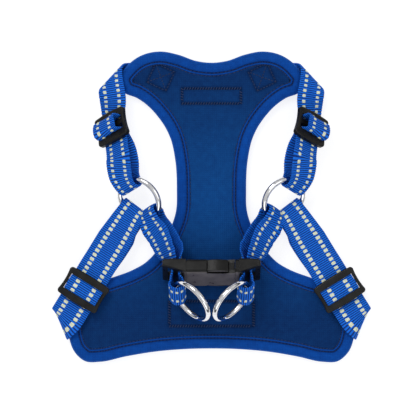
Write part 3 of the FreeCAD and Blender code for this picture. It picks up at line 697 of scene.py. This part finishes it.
def straps(label, side):
    def on_harness(nodes):
        def settle(body, marks):
            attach(body, "harness")
            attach(marks, "harness")
            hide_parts(*nodes)
        return settle

    girth = Ribbon(girth_path(), GIRTH_WIDTH)
    sign = outer_sign(girth, nearest(girth, GIRTH_SLIDER - GIRTH_HEADING * 28))
    strap(f"{label}_girth_webbing", girth, side, sign, (0, girth.length), (2, girth.length - 20),
          on_harness([f"{label}_girth_strap", f"{label}_girth_ring_loop"]))

    shoulder = Ribbon(shoulder_path(), STRAP_WIDTH)
    sign = outer_sign(shoulder, nearest(shoulder, SHOULDER_SLIDER))
    strap(f"{label}_shoulder_webbing", shoulder, side, sign, (0, shoulder.length), (20, shoulder.length),
          on_harness([f"{label}_shoulder_strap", f"{label}_shoulder_ring_loop"]))

    back = Ribbon(back_path(), STRAP_WIDTH, closed=True, crumple=0.22)
    sign = outer_sign(back, 4.0)

    def settle_back(body, marks):
        if side > 0:
            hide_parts("left_back_strap")
            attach(body, "harness")
            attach(marks, "harness")
        else:
            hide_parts("right_back_strap_ring_end", "right_back_strap_buckle_end")
            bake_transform(body)
            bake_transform(marks)

    strap(f"{label}_back_webbing", back, side, sign, (0, back.length), (0, back.length), settle_back)

    for part, middle, heading, across, width, half_profile, shift in (
        ("girth", GIRTH_SLIDER, GIRTH_HEADING, GIRTH_ACROSS, GIRTH_WIDTH + 0.9,
         [(-4.9, 0.6), (-5.0, 2.6), (-4.7, 4.2), (-3.0, 5.5), (0, 5.9)], 0.0),
        ("shoulder", SHOULDER_SLIDER, SHOULDER_HEADING, SHOULDER_ACROSS, STRAP_WIDTH,
         [(-4.7, 0.6), (-4.9, 3.2), (-5.6, 5.6), (-4.3, 7.9), (0, 8.6)], -2.6),
    ):
        normal = upwards(np.cross(across, heading))
        seat = middle + normal * (WEB / 2 + 0.3)
        profile = half_profile + [(-t, n) for t, n in half_profile[-2::-1]]
        crest = half_profile[-1][1]
        path = []
        for t, n in profile:
            path.append((seat + heading * t + normal * n + across * (shift * n / crest), across))
        ribbon = Ribbon(path, width)
        body = f"{label}_{part}_adjuster"

        def settle(piece, marks):
            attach(piece, body)
            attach(marks, body)
            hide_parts(f"{label}_{part}_slider_webbing")

        strap(f"{label}_{part}_adjuster_loop", ribbon, side, outer_sign(ribbon, ribbon.length / 2),
              (0, ribbon.length), (0, ribbon.length), settle)


for LABEL, SIDE in SIDES.items():
    straps(LABEL, SIDE)


# ---------------------------------------------------------------- panel

def outline_samples(count):
    """Points round the bound edge, the inward directions there, and the way along."""
    left = [vec(x, y) for x, y in OUTLINE]
    right = [vec(-x, y) for x, y in reversed(OUTLINE)]
    points = [vec(0, NECK_NOTCH)] + left + [vec(0, HEM_MIDDLE)] + right
    wrap = 3
    points = np.array(points[-wrap:] + points + points[:wrap + 1])
    knots = np.concatenate([[0.0], np.cumsum(np.linalg.norm(np.diff(points, axis=0), axis=1))])
    where = np.linspace(knots[wrap], knots[-1 - wrap], count * 4, endpoint=False)
    fine = spline(points, knots, where)
    closed = np.vstack([fine, fine[:1]])
    path = np.concatenate([[0.0], np.cumsum(np.linalg.norm(np.diff(closed, axis=0), axis=1))])
    even = np.linspace(0, path[-1], count, endpoint=False)
    edge = np.stack([np.interp(even, path, closed[:, i]) for i in range(3)], axis=1)
    along = rows(np.roll(edge, -1, axis=0) - np.roll(edge, 1, axis=0))
    inward = np.stack([-along[:, 1], along[:, 0], np.zeros(count)], axis=1)
    return edge, inward, path[-1]


EDGE, INWARD, PERIMETER = outline_samples(720)


def edge_distance(points):
    """How far each point is from the bound edge, in plan."""
    best = np.full(len(points), 1e9)
    for chunk in range(0, len(points), 2000):
        part = points[chunk:chunk + 2000, None, :2] - EDGE[None, :, :2]
        best[chunk:chunk + 2000] = np.sqrt((part**2).sum(axis=2)).min(axis=1)
    return best


def soft_noise(a, b, seed):
    """Smooth unevenness from a few fixed waves, about -1 to 1."""
    rng = np.random.default_rng(seed)
    total = np.zeros_like(a)
    for _ in range(6):
        k = rng.uniform(0.05, 0.35, 2)
        phase = rng.uniform(0, 2 * math.pi, 2)
        total += np.sin(a * k[0] + phase[0]) * np.sin(b * k[1] + phase[1])
    return total / 3


def binding():
    """The padded band round the edge: (distance in from the edge, height) round its section."""
    section = [
        (8.6, 2.3), (7.2, 1.75), (5.2, 1.6), (3.2, 1.65), (1.6, 2.1), (0.6, 3.1), (0.05, 4.4),
        (0.0, 5.6), (0.35, 6.8), (1.2, 7.9), (2.4, 8.55), (3.8, 8.8), (5.2, 8.72), (6.3, 8.35),
        (7.0, 7.8), (7.35, 7.25), (7.6, 6.8), (7.85, 7.25), (8.3, 7.85), (8.9, 7.95), (9.35, 7.6),
        (9.6, 7.0), (9.5, 6.4), (9.0, 5.0), (8.8, 3.4),
    ]
    count = len(EDGE)
    points = []
    uv = []
    for i in range(count):
        for d, z in section:
            wave = soft_noise(np.array([i * PERIMETER / count]), np.array([d * 2.0 + z]), 5)[0]
            pucker = 0.12 * math.sin(2.1 * i * PERIMETER / count + 3 * wave) + 0.3 * wave
            lift = pucker * max(0.0, math.sin(min(1.0, d / 7.3) * math.pi)) * (z > 6)
            points.append(EDGE[i] + INWARD[i] * d + vec(0, 0, z + lift))
            uv.append((d / 10, i * PERIMETER / count / 10))
    ring = len(section)
    faces = grid_faces(count, ring)
    last = (count - 1) * ring
    for j in range(ring):
        k = (j + 1) % ring
        faces.append((last + j, j, k, last + k))
    faces = [f[::-1] for f in faces]
    piece = mesh_piece("edge_binding_band", points, faces, [MATERIALS["binding"]], uv=uv)
    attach(piece, "harness")
    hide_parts("edge_binding")


BOXES = [
    # middle, size, turn in degrees
    ((0.0, 80.0), (42.4, 10.8), 0.0),
    ((0.0, -76.8), (60.6, 18.0), 0.0),
    ((-36.5, 93.6), (15.0, 15.0), -25.0),
    ((36.5, 93.6), (15.0, 15.0), 25.0),
]


def box_distance(points, box):
    """Distance in plan from the outline of a stitched box: negative inside."""
    (cx, cy), (w, d), degrees = box
    a = math.radians(degrees)
    x = points[:, 0] - cx
    y = points[:, 1] - cy
    u = np.abs(x * math.cos(a) + y * math.sin(a)) - w / 2
    v = np.abs(-x * math.sin(a) + y * math.cos(a)) - d / 2
    outside = np.hypot(np.maximum(u, 0), np.maximum(v, 0))
    return outside + np.minimum(np.maximum(u, v), 0)


def pad():
    """The foam pad between its two fabrics, puffed by cloth simulation between the lines of stitching."""
    rim = EDGE + INWARD * PAD_INSET
    count = len(rim)
    low, high = PAD_LEVELS
    points = np.vstack([rim + vec(0, 0, low), rim + vec(0, 0, high)])
    faces = [tuple(range(count))[::-1], tuple(range(count, 2 * count))]
    faces += [(i, (i + 1) % count, count + (i + 1) % count, count + i) for i in range(count)]
    piece = mesh_piece("chest_pad", points, faces, [MATERIALS["lining"], MATERIALS["outer"]])
    remesh = piece.modifiers.new("Remesh", "REMESH")
    remesh.mode = "VOXEL"
    remesh.voxel_size = PAD_VOXEL * MM
    bpy.context.view_layer.objects.active = piece
    bpy.ops.object.modifier_apply(modifier="Remesh")
    co = np.array([v.co for v in piece.data.vertices]) / MM
    rest = co.copy()
    held = np.clip(1.4 - (edge_distance(co) - PAD_INSET) / 2.0, 0, 1)
    for box in BOXES:
        held = np.maximum(held, np.clip(1.5 - np.abs(box_distance(co, box)) / 1.2, 0, 1))
    group = piece.vertex_groups.new(name="sewn")
    for i, weight in enumerate(held):
        group.add([i], float(weight), "REPLACE")
    cloth = piece.modifiers.new("Cloth", "CLOTH")
    settings = cloth.settings
    settings.quality = 5
    settings.mass = 0.3
    settings.tension_stiffness = 12
    settings.compression_stiffness = 12
    settings.shear_stiffness = 6
    settings.bending_stiffness = 0.6
    settings.use_pressure = True
    settings.uniform_pressure_force = PAD_PRESSURE
    settings.vertex_group_mass = "sewn"
    settings.effector_weights.gravity = 0.0
    cloth.collision_settings.use_collision = False
    cloth.collision_settings.use_self_collision = False
    cloth.point_cache.frame_start = 1
    cloth.point_cache.frame_end = CLOTH_FRAMES
    scene = bpy.context.scene
    for number in range(1, CLOTH_FRAMES + 1):
        scene.frame_set(number)
    graph = bpy.context.evaluated_depsgraph_get()
    puffed = np.array([v.co for v in piece.evaluated_get(graph).data.vertices]) / MM
    piece.modifiers.remove(cloth)
    scene.frame_set(1)
    move = puffed - rest
    size = np.linalg.norm(move, axis=1, keepdims=True)
    co = rest + move * np.minimum(1.0, PAD_PUFF / np.maximum(size, 1e-9))
    co[:, 2] = np.clip(co[:, 2], PANEL_BOTTOM + 0.05, LINING_TOP + 0.2)
    for i, v in enumerate(piece.data.vertices):
        v.co = Vector(co[i] * MM)
    smooth = piece.modifiers.new("Subdivision", "SUBSURF")
    smooth.levels = 1
    smooth.render_levels = 1
    bpy.ops.object.modifier_apply(modifier="Subdivision")
    co = np.array([v.co for v in piece.data.vertices]) / MM
    top = np.clip((co[:, 2] - 5.0) / 1.5, -1, 1)
    depth = np.zeros(len(co))
    for box in BOXES:
        away = box_distance(co, box)
        depth = np.maximum(depth, SEAM_DEPTH * np.exp(-((away / SEAM_WIDTH) ** 2)))
    co[:, 2] -= depth * np.maximum(top, 0)
    for i, v in enumerate(piece.data.vertices):
        v.co = Vector(co[i] * MM)
    loops = np.empty(len(piece.data.loops), int)
    piece.data.loops.foreach_get("vertex_index", loops)
    # The UV map carries the groove depth, which the lining uses to paint shade into the seam grooves.
    sewn = np.stack([depth / max(depth.max(), 1e-6), co[:, 1] / 10], axis=1)
    piece.data.uv_layers.new(name="Strap").data.foreach_set("uv", sewn[loops].ravel())
    piece.data.update()
    for polygon in piece.data.polygons:
        polygon.use_smooth = True
        polygon.material_index = 1 if polygon.normal.z < -0.2 else 0
    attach(piece, "harness")
    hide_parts("inner_lining", "foam_core", "outer_shell", "lining_stitches")
    return piece


binding()
PAD = pad()


def surface_height(x, y):
    """The height of the pad's upper face at a place, in millimetres."""
    hit, point, _, _ = PAD.ray_cast(Vector((x * MM, y * MM, 0.03)), Vector((0, 0, -1)))
    return point.z / MM if hit else 7.3


def stitch_points(start, end, rise, width=0.32):
    """A short thread between two points, arched like a stitch: a six-sided bead."""
    start, end = np.asarray(start), np.asarray(end)
    along = unit(end - start)
    side = unit(np.cross(along, vec(0, 0, 1)))
    up = np.cross(side, along)
    points = []
    for t, size in ((0.0, 0.35), (0.15, 0.85), (0.5, 1.0), (0.85, 0.85), (1.0, 0.35)):
        middle = start + (end - start) * t + vec(0, 0, rise * math.sin(t * math.pi))
        for k in range(6):
            a = 2 * math.pi * k / 6
            points.append(middle + (side * math.cos(a) + up * math.sin(a)) * width * size)
    faces = grid_faces(5, 6)
    faces += [tuple(range(6))[::-1], tuple(range(24, 30))]
    return points, [f[::-1] for f in faces]


class Threads:
    """Many stitches, gathered into one piece."""

    def __init__(self):
        self.points = []
        self.faces = []

    def stitch(self, start, end, rise=0.12, width=0.32):
        points, faces = stitch_points(start, end, rise, width)
        base = len(self.points)
        self.points += [p.tolist() for p in points]
        self.faces += [tuple(base + i for i in f) for f in faces]

    def piece(self, name):
        made = mesh_piece(name, self.points, self.faces, [MATERIALS["thread"]])
        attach(made, "harness")


STITCH_SHARE = 0.725           # of the stitch pitch that is thread, in the edge seams


def edge_seams():
    threads = Threads()
    count = len(EDGE)
    for inset, level in zip(EDGE_SEAMS, (6.98, 7.3)):
        rim = EDGE + INWARD * inset
        for i in range(0, count, 2):
            j = i + STITCH_SHARE * 2
            k = int(j)
            end = rim[k % count] * (1 - (j - k)) + rim[(k + 1) % count] * (j - k)
            threads.stitch(rim[i] + vec(0, 0, level), end + vec(0, 0, level), width=0.34)
    threads.piece("edge_seam_threads")


def box_seams():
    threads = Threads()
    for (cx, cy), (w, d), degrees in BOXES:
        a = math.radians(degrees)
        x_way = vec(math.cos(a), math.sin(a))
        y_way = vec(-math.sin(a), math.cos(a))
        middle = vec(cx, cy)
        corners = [(-w / 2, -d / 2), (w / 2, -d / 2), (w / 2, d / 2), (-w / 2, d / 2)]
        lines = [(corners[i], corners[(i + 1) % 4]) for i in range(4)]
        if degrees:
            lines += [(corners[0], corners[2]), (corners[1], corners[3])]
        zigzag = degrees == 0
        for start, end in lines:
            start = middle + x_way * start[0] + y_way * start[1]
            end = middle + x_way * end[0] + y_way * end[1]
            way = unit(end - start)
            across = np.cross(vec(0, 0, 1), way)
            length = np.linalg.norm(end - start)
            pitch = 1.9 if zigzag else 2.3
            for i in range(int(length / pitch)):
                p = start + way * (i * pitch)
                q = start + way * ((i + (0.5 if zigzag else 0.72)) * pitch)
                if zigzag:
                    p = p - across * 1.0
                    q = q + across * 1.0
                p[2] = surface_height(p[0], p[1]) + 0.12
                q[2] = surface_height(q[0], q[1]) + 0.12
                threads.stitch(p, q, width=0.42 if zigzag else 0.34)
    threads.piece("box_seam_threads")


edge_seams()
box_seams()


# ---------------------------------------------------------------- webbing and patch under the panel

def under_panel():
    path = [(vec(x, -78.0, WEB / 2), vec(0, 1)) for x in (-94.9, -40.0, 0.0, 40.0, 94.9)]
    band = Ribbon(path, GIRTH_WIDTH - 0.6)
    piece = webbing_mesh("chest_band_webbing", band, 0, band.length, 1.0)
    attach(piece, "harness")
    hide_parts("chest_band")
    path = [(vec(x, 80.0, WEB / 2), vec(0, 1)) for x in (-22.4, 0.0, 22.4)]
    patch = Ribbon(path, 11.4)
    piece = webbing_mesh("neck_patch_band", patch, 0, patch.length, 1.0)
    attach(piece, "harness")
    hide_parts("neck_patch")


under_panel()


# ---------------------------------------------------------------- hardware that keeps its CAD shape

for NAME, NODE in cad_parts.items():
    if NAME.endswith("_ring"):
        finish = "chrome"
    elif NAME.endswith("_slider"):
        finish = "plastic"
    elif NAME.startswith("buckle") or NAME.endswith("prong"):
        finish = "buckle"
    else:
        continue
    NODE.data.materials.clear()
    NODE.data.materials.append(MATERIALS[finish])


# ---------------------------------------------------------------- studio

FLOOR = 2500                   # half its side
FLOOR_LEVEL = -0.3
CAMERA_DISTANCE = 2.5          # metres
CAMERA_SIGHT = 0.30345         # how much the camera sees across, at the origin
SENSOR = 36.0


def area_light(name, place, aim, size, power):
    data = bpy.data.lights.new(name, "AREA")
    data.shape = "DISK"
    data.size = size
    data.energy = power
    light = bpy.data.objects.new(name, data)
    light.location = place
    light.rotation_mode = "QUATERNION"
    light.rotation_quaternion = (Vector(aim) - Vector(place)).to_track_quat("-Z", "Y")
    bpy.context.scene.collection.objects.link(light)


def studio():
    scene = bpy.context.scene
    scene.view_settings.view_transform = "Standard"
    corners = [(-FLOOR, -FLOOR), (FLOOR, -FLOOR), (FLOOR, FLOOR), (-FLOOR, FLOOR)]
    corners = [(x, y, FLOOR_LEVEL) for x, y in corners]
    floor = mesh_piece("floor", corners, [(0, 1, 2, 3)], [MATERIALS["floor"]])
    world = bpy.data.worlds.new("Studio")
    scene.world = world
    world.use_nodes = True
    tree = world.node_tree
    background = next(n for n in tree.nodes if n.type == "BACKGROUND")
    where = tree.nodes.new("ShaderNodeTexCoord")
    split = tree.nodes.new("ShaderNodeSeparateXYZ")
    ramp = tree.nodes.new("ShaderNodeValToRGB")
    ramp.color_ramp.elements[0].position = 0.12
    ramp.color_ramp.elements[0].color = (0.04, 0.04, 0.045, 1)
    ramp.color_ramp.elements[1].position = 0.46
    ramp.color_ramp.elements[1].color = (1, 1, 1, 1)
    tree.links.new(where.outputs["Generated"], split.inputs[0])
    tree.links.new(split.outputs[2], ramp.inputs[0])
    tree.links.new(ramp.outputs[0], background.inputs["Color"])
    background.inputs["Strength"].default_value = 0.7
    area_light("key", (-0.5, 0.75, 1.2), (0, 0, 0), 0.7, 7.5)
    area_light("fill", (0.7, -0.2, 1.3), (0, 0, 0), 1.1, 3.0)
    area_light("front", (0.05, -1.3, 0.75), (0, -0.05, 0.02), 0.9, 3.0)


def camera():
    """Straight above, with a long lens."""
    data = bpy.data.cameras.new("camera")
    view = bpy.data.objects.new("camera", data)
    data.sensor_width = SENSOR
    data.lens = SENSOR * CAMERA_DISTANCE / CAMERA_SIGHT
    data.clip_start = 0.1
    data.clip_end = 20.0
    view.location = (-1.08 * MM, -2.17 * MM, CAMERA_DISTANCE)
    bpy.context.scene.collection.objects.link(view)
    bpy.context.scene.camera = view


studio()
camera()
